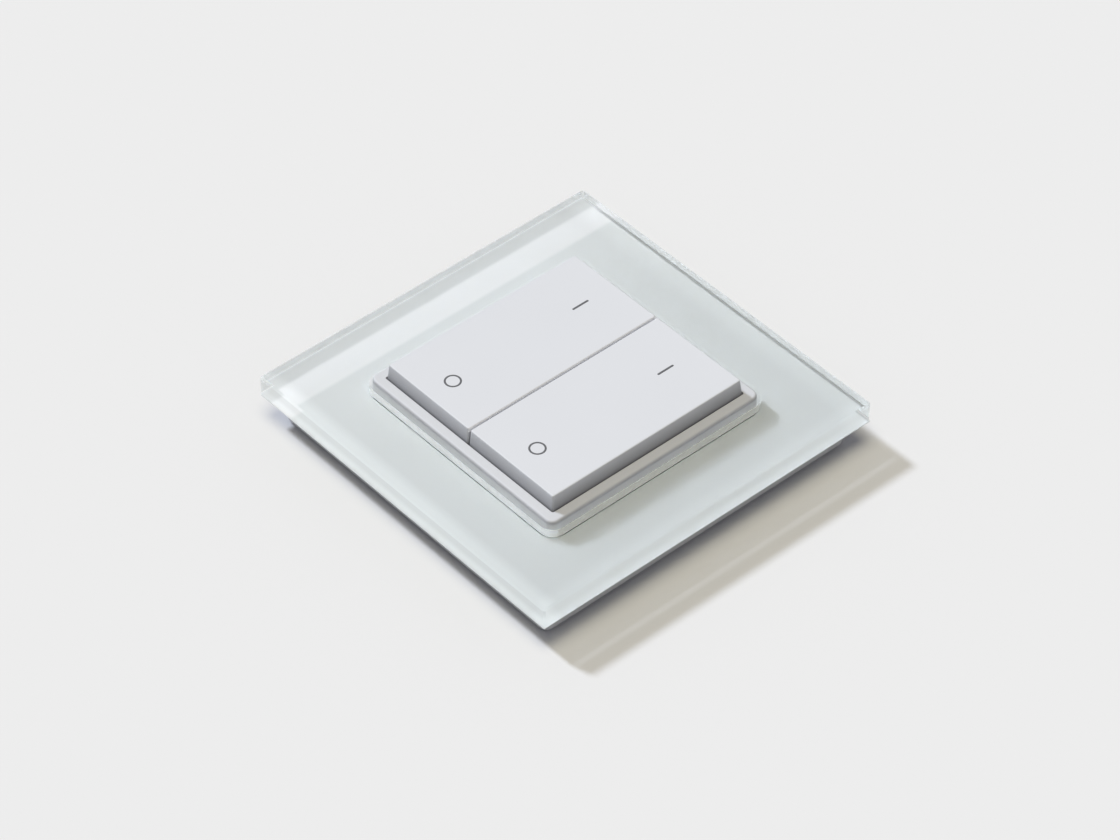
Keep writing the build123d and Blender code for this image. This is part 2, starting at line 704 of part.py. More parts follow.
# Energy bow: ring round the transmitter, four press tabs and a yoke over the lever
tab_y = (bow_inside + bow_bar) / 2
tab_top = rocker_under - bow_outside / 2 * sin(radians(rocker_tilt)) - bow_tab_clearance
with BuildPart() as energy_bow:
    with BuildSketch(Plane.XY.offset(bow_top)):
        square_ring(bow_outside, module_corner, bow_inside, module_corner / 2)
    extrude(amount=-bow_height)
    with BuildSketch(Plane.XY.offset(bow_top)):
        with GridLocations(2 * cap_middle, 2 * tab_y, 2, 2):
            Rectangle(bow_tab_width, bow_bar)
    extrude(amount=tab_top - bow_top)
    with BuildSketch(Plane.XY.offset(bow_top)):
        Rectangle(bow_inside, bow_yoke_width)
    extrude(amount=-bow_yoke_height)
energy_bow.part.label = "energy_bow"
export_step(energy_bow.part, "parts/energy_bow.step")

# Lever with its hub, pressed down by the yoke
lever_tip_y = -magnet_depth
with BuildPart() as armature_lever:
    with BuildSketch(Plane.XY.offset(lever_under)):
        with Locations((0, (lever_pivot_y + lever_tip_y) / 2)):
            Rectangle(lever_width, lever_pivot_y - lever_tip_y)
    extrude(amount=lever_thickness)
    with BuildSketch(Plane.YZ.offset(-lever_width / 2)):
        with Locations((lever_pivot_y, pin_z)):
            Circle(lever_hub_radius)
    extrude(amount=lever_width)
    with BuildSketch(Plane.YZ.offset(-lever_width / 2)):
        with Locations((lever_pivot_y, pin_z)):
            Circle(lever_pin_radius + lever_pin_clearance)
    extrude(amount=lever_width, mode=Mode.SUBTRACT)
armature_lever.part.label = "armature_lever"
export_step(armature_lever.part, "parts/armature_lever.step")

# Steel pin of the lever, held in the tray's posts
with BuildPart() as lever_pin:
    with BuildSketch(Plane.YZ.offset(-post_x - pin_post_width / 2)):
        with Locations((lever_pivot_y, pin_z)):
            Circle(lever_pin_radius)
    extrude(amount=2 * post_x + pin_post_width)
lever_pin.part.label = "lever_pin"
export_step(lever_pin.part, "parts/lever_pin.step")

# Magnet between two pole plates, hung under the lever
magnet_y = -magnet_depth / 2
upper_pole = lever_under - pole_thickness
lower_pole = upper_pole - magnet_height - pole_thickness
with BuildPart() as magnet:
    with BuildSketch(Plane.XY.offset(upper_pole)):
        with Locations((0, magnet_y)):
            Rectangle(magnet_length, magnet_depth)
    extrude(amount=-magnet_height)
magnet.part.label = "magnet"
export_step(magnet.part, "parts/magnet.step")

with BuildPart() as pole_plates:
    for plate_bottom in (upper_pole, lower_pole):
        with BuildSketch(Plane.XY.offset(plate_bottom)):
            with Locations((0, magnet_y)):
                Rectangle(magnet_length + 2 * pole_overhang, magnet_depth)
        extrude(amount=pole_thickness)
pole_plates.part.label = "pole_plates"
export_step(pole_plates.part, "parts/pole_plates.step")

# Iron core: a bar through the coil, two legs and two ends that face the pole plates
core_middle = upper_pole - magnet_height / 2
core_span = inside_size - 2 * core_side_gap
coil_y = coil_inset - inside_size / 2
core_end_x = magnet_length / 2 + pole_overhang + core_gap
leg_x = (core_span - core_bar) / 2
with BuildPart() as iron_core:
    with BuildSketch(Plane.XY.offset(core_middle - core_height / 2)):
        with Locations((0, coil_y)):
            Rectangle(core_span, core_bar)
        leg_length = magnet_y - coil_y + core_bar
        for side in (leg_x, -leg_x):
            with Locations((side, (magnet_y + coil_y) / 2)):
                Rectangle(core_bar, leg_length)
        end_length = core_span / 2 - core_end_x
        for side in (core_end_x + end_length / 2, -core_end_x - end_length / 2):
            with Locations((side, magnet_y)):
                Rectangle(end_length, core_bar)
    extrude(amount=core_height)
iron_core.part.label = "iron_core"
export_step(iron_core.part, "parts/iron_core.step")

# Bobbin on the tray floor, with a square bore for the core
bobbin_half = core_middle - floor_top
coil_length = core_span - 2 * (core_bar + coil_end_gap + bobbin_flange)
bore_width = core_bar + 2 * bobbin_play
bore_height = core_height + 2 * bobbin_play
with BuildPart() as coil_bobbin:
    with BuildSketch(Plane.YZ.offset(-coil_length / 2)):
        with Locations((coil_y, core_middle)):
            Rectangle(bore_width + 2 * bobbin_wall, bore_height + 2 * bobbin_wall)
    extrude(amount=coil_length)
    for flange_x in (-coil_length / 2 - bobbin_flange, coil_length / 2):
        with BuildSketch(Plane.YZ.offset(flange_x)):
            with Locations((coil_y, core_middle)):
                Rectangle(bobbin_width, 2 * bobbin_half)
        extrude(amount=bobbin_flange)
    with BuildSketch(Plane.YZ.offset(-coil_length / 2 - bobbin_flange)):
        with Locations((coil_y, core_middle)):
            Rectangle(bore_width, bore_height)
    extrude(amount=coil_length + 2 * bobbin_flange, mode=Mode.SUBTRACT)
coil_bobbin.part.label = "coil_bobbin"
export_step(coil_bobbin.part, "parts/coil_bobbin.step")

# Winding between the bobbin's flanges
with BuildPart() as coil_winding:
    with BuildSketch(Plane.YZ.offset(-coil_length / 2)):
        with Locations((coil_y, core_middle)):
            RectangleRounded(bobbin_width - 2 * coil_edge, 2 * bobbin_half - 2 * coil_edge, 2 * bobbin_wall)
            Rectangle(
                bore_width + 2 * bobbin_wall,
                bore_height + 2 * bobbin_wall,
                mode=Mode.SUBTRACT,
            )
    extrude(amount=coil_length)
coil_winding.part.label = "coil_winding"
export_step(coil_winding.part, "parts/coil_winding.step")

# Leaf spring: fixed flat on its block, then rising to the underside of the lever
anchor_top = floor_top + spring_anchor_height + spring_thickness / 2
anchor_end_y = spring_anchor_y - spring_anchor_length / 2
spring_reach_y = lever_pivot_y - spring_reach
with BuildPart() as leaf_spring:
    with BuildSketch(Plane.YZ.offset(-spring_width / 2)):
        with BuildLine():
            Polyline(
                (spring_anchor_y + spring_anchor_length / 2, anchor_top),
                (anchor_end_y, anchor_top),
                (spring_reach_y + spring_thickness, lever_under - spring_thickness),
                (spring_reach_y - 2 * spring_thickness, lever_under - spring_thickness),
            )
            offset(amount=spring_thickness / 2, side=Side.BOTH)
        make_face()
    extrude(amount=spring_width)
leaf_spring.part.label = "leaf_spring"
export_step(leaf_spring.part, "parts/leaf_spring.step")
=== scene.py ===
import math

import bpy
import bmesh
import numpy as np
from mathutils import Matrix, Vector


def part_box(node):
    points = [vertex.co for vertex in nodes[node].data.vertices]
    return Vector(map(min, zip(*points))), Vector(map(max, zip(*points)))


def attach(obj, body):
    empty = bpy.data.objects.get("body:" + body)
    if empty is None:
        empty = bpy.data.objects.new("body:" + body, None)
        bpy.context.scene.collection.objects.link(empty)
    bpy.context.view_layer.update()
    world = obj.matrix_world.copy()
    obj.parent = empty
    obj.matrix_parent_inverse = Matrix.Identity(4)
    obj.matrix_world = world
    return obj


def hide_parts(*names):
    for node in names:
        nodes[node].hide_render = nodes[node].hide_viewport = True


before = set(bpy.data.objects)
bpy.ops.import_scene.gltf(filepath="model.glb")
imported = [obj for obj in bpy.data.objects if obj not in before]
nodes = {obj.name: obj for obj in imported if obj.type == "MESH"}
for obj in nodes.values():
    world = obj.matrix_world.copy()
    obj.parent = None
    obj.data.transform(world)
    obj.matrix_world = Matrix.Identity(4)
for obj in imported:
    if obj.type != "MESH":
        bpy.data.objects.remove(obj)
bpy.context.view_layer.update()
millimetre = 0.001
print("frame loaded:", len(nodes), "pieces")


# Small helpers for node trees
def addNode(tree, kind, inputs=None, **settings):
    # A socket given as a value is linked, anything else is set as a number or colour
    node = tree.nodes.new(kind)
    for name, value in settings.items():
        setattr(node, name, value)
    for name, value in (inputs or {}).items():
        if isinstance(value, bpy.types.NodeSocket):
            tree.links.new(value, node.inputs[name])
        else:
            node.inputs[name].default_value = value
    return node


def mathNode(tree, operation, first, second=0.0, **settings):
    return addNode(tree, "ShaderNodeMath", {0: first, 1: second}, operation=operation, **settings).outputs[0]


def vectorNode(tree, operation, first, second=(0.0, 0.0, 0.0)):
    return addNode(tree, "ShaderNodeVectorMath", {0: first, 1: second}, operation=operation).outputs["Vector"]


def remap(tree, value, fromLow, fromHigh, toLow=0.0, toHigh=1.0):
    sockets = {"Value": value, "From Min": fromLow, "From Max": fromHigh, "To Min": toLow, "To Max": toHigh}
    return addNode(tree, "ShaderNodeMapRange", sockets).outputs["Result"]


def blendColour(tree, mode, share, first, second):
    sockets = {"Factor": share, 6: first, 7: second}    # 6 and 7 are the two colours of this node
    node = addNode(tree, "ShaderNodeMix", sockets, data_type="RGBA", blend_type=mode)
    return node.outputs[2]


def blendShader(tree, share, first, second):
    return addNode(tree, "ShaderNodeMixShader", {"Fac": share, 1: first, 2: second}).outputs["Shader"]


def newGroup(name, inputs, outputs):
    # Gives the tree, what its input node gives out and what its output node takes in
    tree = bpy.data.node_groups.new(name, "ShaderNodeTree")
    for label, kind, value in inputs:
        socket = tree.interface.new_socket(label, in_out="INPUT", socket_type="NodeSocket" + kind)
        socket.default_value = value
    for label, kind in outputs:
        tree.interface.new_socket(label, in_out="OUTPUT", socket_type="NodeSocket" + kind)
    return tree, tree.nodes.new("NodeGroupInput").outputs, tree.nodes.new("NodeGroupOutput").inputs


def newMaterial(name):
    material = bpy.data.materials.new(name)
    material.use_nodes = True
    tree = material.node_tree
    tree.nodes.clear()
    return material, tree, addNode(tree, "ShaderNodeOutputMaterial").inputs["Surface"]


def objectPoint(tree):
    return addNode(tree, "ShaderNodeTexCoord").outputs["Object"]


def objectAxes(tree):
    return addNode(tree, "ShaderNodeSeparateXYZ", {"Vector": objectPoint(tree)}).outputs


def levelness(tree):
    # 1 where a face lies level and 0 where it stands upright
    normal = addNode(tree, "ShaderNodeNewGeometry").outputs["Normal"]
    return mathNode(tree, "ABSOLUTE", addNode(tree, "ShaderNodeSeparateXYZ", {"Vector": normal}).outputs["Z"])


# Effects that several materials share
noiseSpan = (0.3, 0.7)    # a noise node seldom leaves these values


def makeMouldGrain():
    # Spark-eroded mould texture: fine noise lifts the surface and varies the gloss, and a slow
    # noise gives the faint drift of tone that a moulding has
    tree, given, put = newGroup(
        "mouldGrain",
        [("Grain Size", "Float", 0.0002), ("Depth", "Float", 0.000004), ("Roughness", "Float", 0.5),
         ("Drift", "Float", 0.01)],
        [("Roughness", "Float"), ("Tone", "Color"), ("Normal", "Vector")],
    )
    point = objectPoint(tree)
    scale = mathNode(tree, "DIVIDE", 1.0, given["Grain Size"])
    fine = addNode(tree, "ShaderNodeTexNoise", {"Vector": point, "Scale": scale, "Detail": 2.0})
    slow = addNode(tree, "ShaderNodeTexNoise", {"Vector": point, "Scale": 55.0, "Detail": 3.0})
    bump = addNode(tree, "ShaderNodeBump", {"Height": fine.outputs["Fac"], "Distance": given["Depth"]})
    lowTone = mathNode(tree, "SUBTRACT", 1.0, given["Drift"])
    tone = remap(tree, slow.outputs["Fac"], *noiseSpan, lowTone, 1.0)
    swing = remap(tree, fine.outputs["Fac"], *noiseSpan, -0.05, 0.05)
    tree.links.new(mathNode(tree, "ADD", given["Roughness"], swing), put["Roughness"])
    tree.links.new(tone, put["Tone"])
    tree.links.new(bump.outputs["Normal"], put["Normal"])
    return tree


def makeMetalGrain():
    # Rolling or drawing marks: noise stretched along one direction, with a few broad stains
    tree, given, put = newGroup(
        "metalGrain",
        [("Stretch", "Vector", (200.0, 6000.0, 6000.0)), ("Depth", "Float", 0.000002),
         ("Roughness", "Float", 0.3), ("Stain", "Float", 0.08)],
        [("Roughness", "Float"), ("Tone", "Color"), ("Normal", "Vector")],
    )
    point = objectPoint(tree)
    drawn = vectorNode(tree, "MULTIPLY", point, given["Stretch"])
    lines = addNode(tree, "ShaderNodeTexNoise", {"Vector": drawn, "Scale": 1.0, "Detail": 3.0})
    stains = addNode(tree, "ShaderNodeTexNoise", {"Vector": point, "Scale": 240.0, "Detail": 4.0})
    bump = addNode(tree, "ShaderNodeBump", {"Height": lines.outputs["Fac"], "Distance": given["Depth"]})
    lowTone = mathNode(tree, "SUBTRACT", 1.0, given["Stain"])
    tone = remap(tree, stains.outputs["Fac"], 0.35, 0.65, lowTone, 1.0)
    swing = remap(tree, lines.outputs["Fac"], *noiseSpan, -0.08, 0.12)
    tree.links.new(mathNode(tree, "ADD", given["Roughness"], swing), put["Roughness"])
    tree.links.new(tone, put["Tone"])
    tree.links.new(bump.outputs["Normal"], put["Normal"])
    return tree


def makeFoamCells():
    # Closed foam: rounded cells stand out between thin dark walls
    tree, given, put = newGroup(
        "foamCells",
        [("Cell Size", "Float", 0.0004), ("Depth", "Float", 0.00006)],
        [("Tone", "Color"), ("Normal", "Vector")],
    )
    scale = mathNode(tree, "DIVIDE", 1.0, given["Cell Size"])
    sockets = {"Vector": objectPoint(tree), "Scale": scale}
    cells = addNode(tree, "ShaderNodeTexVoronoi", sockets, feature="SMOOTH_F1")
    dome = remap(tree, cells.outputs["Distance"], 0.0, 0.8, 1.0, 0.0)
    bump = addNode(tree, "ShaderNodeBump", {"Height": dome, "Distance": given["Depth"]})
    tree.links.new(remap(tree, dome, 0.0, 1.0, 0.75, 1.0), put["Tone"])    # the thin walls are darker
    tree.links.new(bump.outputs["Normal"], put["Normal"])
    return tree


def makeWallShade():
    # Two masks for painted wall shade: how upright a face is, and how far up a point is from the foot height
    # to the top height
    tree, given, put = newGroup(
        "wallShade",
        [("Foot Height", "Float", 0.0), ("Top Height", "Float", 0.001)],
        [("Upright", "Float"), ("Rise", "Float")],
    )
    rise = remap(tree, objectAxes(tree)["Z"], given["Foot Height"], given["Top Height"])
    tree.links.new(remap(tree, levelness(tree), 0.5, 0.98, 1.0, 0.0), put["Upright"])
    tree.links.new(rise, put["Rise"])
    return tree


def makeSoftEdges():
    # The normal turns over the edges as if they were rounded, and the grain's own tilt is added to it
    tree, given, put = newGroup(
        "softEdges",
        [("Radius", "Float", 0.0002), ("Grain Normal", "Vector", (0.0, 0.0, 1.0))],
        [("Normal", "Vector")],
    )
    plain = addNode(tree, "ShaderNodeNewGeometry").outputs["Normal"]
    edge = addNode(tree, "ShaderNodeBevel", {"Radius": given["Radius"]}, samples=6).outputs["Normal"]
    tilt = vectorNode(tree, "SUBTRACT", given["Grain Normal"], plain)
    total = vectorNode(tree, "ADD", edge, tilt)
    tree.links.new(vectorNode(tree, "NORMALIZE", total), put["Normal"])
    return tree


mouldGrain = makeMouldGrain()
metalGrain = makeMetalGrain()
foamCells = makeFoamCells()
wallShade = makeWallShade()
softEdges = makeSoftEdges()
print("shared effects built")


def paintedWallShade(tree, look):
    # Painted shade and light on upright faces: they run in tone from foot to top, apart from those close to a
    # slot in the middle
    walls = look["walls"]
    low, high = walls["heights"]
    shade = addNode(tree, "ShaderNodeGroup", {"Foot Height": low, "Top Height": high}, node_tree=wallShade)
    tone = blendColour(tree, "MIX", shade.outputs["Rise"], walls["foot"], walls["top"])
    if "slot" in walls:
        axes = objectAxes(tree)
        middle = mathNode(tree, "LESS_THAN", mathNode(tree, "ABSOLUTE", axes["X"]), walls["slot"])
        upper = mathNode(tree, "GREATER_THAN", axes["Z"], walls["slotFloor"])
        tone = blendColour(tree, "MIX", mathNode(tree, "MULTIPLY", middle, upper), tone, walls["slotPaintedLight"])
    return blendColour(tree, "MIX", shade.outputs["Upright"], look["colour"], tone)


def grainedMaterial(name, group, look):
    # One Principled shader fed by a shared effect; the look's own values sit on its sockets
    material, tree, surface = newMaterial(name)
    grain = addNode(tree, "ShaderNodeGroup", look["grain"], node_tree=group)
    tone, normal = look["colour"], grain.outputs["Normal"]
    # where the look has walls, their tone is painted shade and light
    if "walls" in look:
        tone = paintedWallShade(tree, look)
        sockets = {"Radius": look["walls"]["edge"], "Grain Normal": normal}
        normal = addNode(tree, "ShaderNodeGroup", sockets, node_tree=softEdges).outputs["Normal"]
    colour = blendColour(tree, "MULTIPLY", 1.0, tone, grain.outputs["Tone"])
    sockets = {"Base Color": colour, "Normal": normal, **look.get("shader", {})}
    if "Roughness" in grain.outputs:
        sockets["Roughness"] = grain.outputs["Roughness"]
    shader = addNode(tree, "ShaderNodeBsdfPrincipled", sockets)
    tree.links.new(shader.outputs["BSDF"], surface)
    return material


def dress(material, *names):
    # The CAD pieces keep their meshes and get one material each
    for name in names:
        mesh = nodes[name].data
        mesh.materials.clear()
        mesh.materials.append(material)


# White caps: collar and rockers. Their walls carry painted shade and light: at the two heights they reach the
# foot tone and the top tone, and edge is the radius that their edges seem to have
capLook = {
    "grain": {"Grain Size": 0.00022, "Depth": 0.0000025, "Roughness": 0.46, "Drift": 0.012},
    "shader": {"IOR": 1.46},
}
collarLook = {
    **capLook,
    "colour": (0.645, 0.655, 0.68, 1.0),
    "walls": {
        "heights": (11.4 * millimetre, 12.0 * millimetre),
        "foot": (0.70, 0.71, 0.72, 1.0),
        "top": (0.47, 0.475, 0.495, 1.0),
        "edge": 0.2 * millimetre,
    },
}
rockerLook = {
    **capLook,
    "colour": (0.722, 0.735, 0.765, 1.0),
    "walls": {
        "heights": (12.6 * millimetre, 16.0 * millimetre),
        "foot": (0.32, 0.325, 0.345, 1.0),
        "top": (0.60, 0.61, 0.635, 1.0),
        "slot": 0.4 * millimetre,          # the gap's walls lie within this distance of the middle and get painted light down to this height
        "slotFloor": 15.2 * millimetre,    # and stay white down to this height
        "slotPaintedLight": (0.84, 0.84, 0.85, 1.0),
        "edge": 0.3 * millimetre,
    },
}
dress(grainedMaterial("collarCap", mouldGrain, collarLook), "collar")
dress(grainedMaterial("rockerCap", mouldGrain, rockerLook), "rocker_left", "rocker_right")

# Carrier under the glass, with painted shade: its walls go dark at the foot, where it meets the wall, and a
# little lighter above
carrierLook = {
    "colour": (0.58, 0.59, 0.60, 1.0),
    "grain": {"Grain Size": 0.0003, "Depth": 0.000006, "Roughness": 0.55, "Drift": 0.02},
    "walls": {
        "heights": (0.42 * millimetre, 0.65 * millimetre),
        "foot": (0.16, 0.165, 0.17, 1.0),
        "top": (0.64, 0.65, 0.66, 1.0),
        "edge": 0.2 * millimetre,
    },
}
dress(grainedMaterial("whiteCarrier", mouldGrain, carrierLook), "frame_carrier")

# Plate on the wall
plateLook = {
    "colour": (0.60, 0.61, 0.62, 1.0),
    "grain": {"Grain Size": 0.0004, "Depth": 0.00001, "Roughness": 0.6, "Drift": 0.04},
}
dress(grainedMaterial("platePlastic", mouldGrain, plateLook), "mounting_plate")

# Transmitter housing
moduleLook = {
    "colour": (0.26, 0.28, 0.29, 1.0),
    "grain": {"Grain Size": 0.0003, "Depth": 0.000008, "Roughness": 0.58, "Drift": 0.05},
}
dress(grainedMaterial("modulePlastic", mouldGrain, moduleLook), "transmitter_tray", "transmitter_cover")

# Energy bow
bowLook = {
    "colour": (0.52, 0.54, 0.57, 1.0),
    "grain": {"Grain Size": 0.0003, "Depth": 0.000005, "Roughness": 0.4, "Drift": 0.03},
}
dress(grainedMaterial("bowPlastic", mouldGrain, bowLook), "energy_bow")

# Bobbin
bobbinLook = {
    "colour": (0.02, 0.02, 0.021, 1.0),
    "grain": {"Grain Size": 0.0002, "Depth": 0.000005, "Roughness": 0.42, "Drift": 0.1},
}
dress(grainedMaterial("bobbinPlastic", mouldGrain, bobbinLook), "coil_bobbin")

# Chips and small parts on the board
chipLook = {
    "colour": (0.018, 0.018, 0.02, 1.0),
    "grain": {"Grain Size": 0.00012, "Depth": 0.000006, "Roughness": 0.5, "Drift": 0.2},
}
dress(grainedMaterial("chipBlack", mouldGrain, chipLook), "board_parts")

# Silicone contact mat, a little translucent
matLook = {
    "colour": (0.42, 0.43, 0.44, 1.0),
    "grain": {"Grain Size": 0.0002, "Depth": 0.000003, "Roughness": 0.62, "Drift": 0.04},
    "shader": {"Subsurface Weight": 0.25, "Subsurface Scale": 0.001, "Sheen Weight": 0.15},
}
dress(grainedMaterial("silicone", mouldGrain, matLook), "contact_mat")

# Metal pieces: marks run along X on what is rolled that way, along Y on lever and spring
metalLooks = {
    "tinnedSteel": {
        "pieces": ["radio_can"],
        "colour": (0.62, 0.62, 0.61, 1.0),
        "grain": {"Stretch": (300.0, 5000.0, 5000.0), "Depth": 0.000002, "Roughness": 0.32, "Stain": 0.12},
        "shader": {"Metallic": 1.0},
    },
    "springSteel": {
        "pieces": ["armature_lever", "leaf_spring", "lever_pin"],
        "colour": (0.50, 0.51, 0.53, 1.0),
        "grain": {"Stretch": (7000.0, 300.0, 7000.0), "Depth": 0.0000015, "Roughness": 0.26, "Stain": 0.08},
        "shader": {"Metallic": 1.0},
    },
    "softIron": {
        "pieces": ["pole_plates", "iron_core"],
        "colour": (0.33, 0.33, 0.34, 1.0),
        "grain": {"Stretch": (500.0, 4000.0, 4000.0), "Depth": 0.000004, "Roughness": 0.42, "Stain": 0.2},
        "shader": {"Metallic": 1.0},
    },
    "nickelPlate": {
        "pieces": ["magnet"],
        "colour": (0.62, 0.60, 0.56, 1.0),
        "grain": {"Stretch": (1500.0, 1500.0, 1500.0), "Depth": 0.000001, "Roughness": 0.15, "Stain": 0.06},
        "shader": {"Metallic": 1.0},
    },
    "zincPlate": {
        "pieces": ["cover_screws"],
        "colour": (0.55, 0.56, 0.57, 1.0),
        "grain": {"Stretch": (3000.0, 3000.0, 3000.0), "Depth": 0.000002, "Roughness": 0.34, "Stain": 0.15},
        "shader": {"Metallic": 1.0},
    },
    "enamelledWire": {
        "pieces": ["wire_antenna"],
        "colour": (0.55, 0.19, 0.07, 1.0),
        "grain": {"Stretch": (4000.0, 400.0, 4000.0), "Depth": 0.000001, "Roughness": 0.25, "Stain": 0.1},
        "shader": {"Metallic": 1.0, "Coat Weight": 0.6, "Coat Roughness": 0.1},
    },
}
for title, look in metalLooks.items():
    dress(grainedMaterial(title, metalGrain, look), *look["pieces"])

# Foam: bonding tape and adhesive pads
foamLooks = {
    "tapeFoam": {
        "pieces": ["bonding_tape"],
        "colour": (0.55, 0.55, 0.55, 1.0),
        "grain": {"Cell Size": 0.0003, "Depth": 0.00004},
        "shader": {"Roughness": 0.85},
    },
    "padFoam": {
        "pieces": ["adhesive_pads"],
        "colour": (0.035, 0.035, 0.037, 1.0),
        "grain": {"Cell Size": 0.0004, "Depth": 0.00006},
        "shader": {"Roughness": 0.8},
    },
}
for title, look in foamLooks.items():
    dress(grainedMaterial(title, foamCells, look), *look["pieces"])

# Circuit board: dark solder mask over straight copper tracks
boardLook = {
    "mask": (0.012, 0.085, 0.035, 1.0),
    "track": (0.03, 0.16, 0.06, 1.0),
    "cellsPerMetre": 900.0,
    "trackEdge": (0.42, 0.48),             # shares of a cell, from its middle, between which a track rises
    "copper": 0.03 * millimetre,           # thickness of the tracks
    "roughness": 0.3,
}


def makeBoardMaterial():
    # Tracks run along the borders of a Manhattan-distance cell pattern, raised by the copper's thickness
    material, tree, surface = newMaterial("boardGreen")
    sockets = {"Vector": objectPoint(tree), "Scale": boardLook["cellsPerMetre"]}
    cells = addNode(tree, "ShaderNodeTexVoronoi", sockets, distance="MANHATTAN")
    tracks = remap(tree, cells.outputs["Distance"], *boardLook["trackEdge"])
    colour = blendColour(tree, "MIX", tracks, boardLook["mask"], boardLook["track"])
    bump = addNode(tree, "ShaderNodeBump", {"Height": tracks, "Distance": boardLook["copper"]})
    sockets = {"Base Color": colour, "Normal": bump.outputs["Normal"], "Roughness": boardLook["roughness"]}
    shader = addNode(tree, "ShaderNodeBsdfPrincipled", sockets)
    tree.links.new(shader.outputs["BSDF"], surface)
    return material


dress(makeBoardMaterial(), "circuit_board")

# Winding: the turns run round the X axis, side by side
windingLook = {
    "copper": (0.55, 0.17, 0.06, 1.0),
    "wire": 0.12 * millimetre,
    "between": 0.35,                       # painted shade in the grooves between two turns
    "roughness": 0.3,
}


def makeWindingMaterial():
    # A sine along X makes one round crest for each turn of wire, with painted shade in the grooves
    material, tree, surface = newMaterial("copperWinding")
    phase = mathNode(tree, "MULTIPLY", objectAxes(tree)["X"], 2 * math.pi / windingLook["wire"])
    crest = remap(tree, mathNode(tree, "SINE", phase), -1.0, 1.0)
    tone = remap(tree, crest, 0.0, 1.0, windingLook["between"], 1.0)
    bump = addNode(tree, "ShaderNodeBump", {"Height": crest, "Distance": windingLook["wire"] / 2})
    colour = blendColour(tree, "MULTIPLY", 1.0, windingLook["copper"], tone)
    sockets = {"Base Color": colour, "Metallic": 1.0, "Roughness": windingLook["roughness"],
               "Normal": bump.outputs["Normal"]}
    shader = addNode(tree, "ShaderNodeBsdfPrincipled", sockets)
    tree.links.new(shader.outputs["BSDF"], surface)
    return material


dress(makeWindingMaterial(), "coil_winding")
print("plastics, metals and board dressed")

# Glass plate
glassLook = {
    "tint": (0.975, 0.99, 0.99, 1.0),
    "bend": 1.52,
    "ground": 0.25,                        # roughness of the ground arrises
    "arrisLevel": (0.3, 0.9),              # an arris is neither upright, which is 0, nor level, which is 1
    "entering": (0.433, 0.433, 0.433, 1.0),    # 1 / bend squared: what the film inside gives back of it
    "leaving": (0.02, 0.02, 0.02, 1.0),    # the rest is thrown back inside at the second face
    "rim": (0.15, 0.15, 0.15, 1.0),        # what the floor gets of the film's glow through the rim
    "rimDepth": 0.6 * millimetre,
    "frost": (0.98, 0.99, 0.99, 1.0),      # ground arrises scatter, so what lies behind shows unbent
    "frostShare": 0.85,
    "backArrisShade": (0.78, 0.79, 0.79, 1.0),  # painted shade on the lower arris across +Y, turned from the lamps, but not so near the corner towards the key
    "backStart": 7.0 * millimetre,         # but not so near the corner towards the key
}


def makeGlassMaterial(low, high):
    # It bends all light but that of the lamps, which passes straight on its way to a surface
    material, tree, surface = newMaterial("clearGlass")
    backfacing = addNode(tree, "ShaderNodeNewGeometry").outputs["Backfacing"]
    path = addNode(tree, "ShaderNodeLightPath").outputs
    level = levelness(tree)
    least, most = glassLook["arrisLevel"]
    arris = mathNode(tree, "MULTIPLY", mathNode(tree, "GREATER_THAN", level, least),
                     mathNode(tree, "LESS_THAN", level, most))
    roughness = mathNode(tree, "MULTIPLY", arris, glassLook["ground"])
    sockets = {"Base Color": glassLook["tint"], "Roughness": roughness, "IOR": glassLook["bend"],
               "Transmission Weight": 1.0}
    glass = addNode(tree, "ShaderNodeBsdfPrincipled", sockets).outputs["BSDF"]
    tone = blendColour(tree, "MIX", backfacing, glassLook["leaving"], glassLook["entering"])
    straight = addNode(tree, "ShaderNodeBsdfTransparent", {"Color": tone}).outputs["BSDF"]
    bent = blendShader(tree, path["Is Shadow Ray"], glass, straight)

    # Light that a surface outside gathers through the rim, which is where the greater of |X| and |Y| is
    # close to half the plate's side
    axes = objectAxes(tree)
    reach = mathNode(tree, "MAXIMUM", mathNode(tree, "ABSOLUTE", axes["X"]),
                     mathNode(tree, "ABSOLUTE", axes["Y"]))
    rim = mathNode(tree, "GREATER_THAN", reach, high.x - glassLook["rimDepth"])
    outside = mathNode(tree, "SUBTRACT", path["Is Diffuse Ray"], backfacing, use_clamp=True)
    damped = addNode(tree, "ShaderNodeBsdfTransparent", {"Color": glassLook["rim"]}).outputs["BSDF"]
    clear = blendShader(tree, mathNode(tree, "MULTIPLY", rim, outside), bent, damped)

    # Lower arrises let all through to the print under them, upper ones most of what isn't lamp light
    under = mathNode(tree, "LESS_THAN", axes["Z"], low.z + glassLook["rimDepth"])
    seen = mathNode(tree, "SUBTRACT", glassLook["frostShare"], path["Is Shadow Ray"], use_clamp=True)
    share = mathNode(tree, "MULTIPLY", arris, mathNode(tree, "MAXIMUM", under, seen))
    # painted shade: the lower arris across +Y lets less through
    back = mathNode(tree, "GREATER_THAN", axes["Y"], high.y - glassLook["rimDepth"])
    start = low.x + glassLook["backStart"]
    far = remap(tree, axes["X"], start - glassLook["backStart"] / 2, start)
    back = mathNode(tree, "MULTIPLY", mathNode(tree, "MULTIPLY", back, far), under)
    veil = blendColour(tree, "MIX", back, glassLook["frost"], glassLook["backArrisShade"])
    frost = addNode(tree, "ShaderNodeBsdfTransparent", {"Color": veil}).outputs["BSDF"]
    tree.links.new(blendShader(tree, share, clear, frost), surface)
    return material


dress(makeGlassMaterial(*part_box("glass_plate")), "glass_plate")


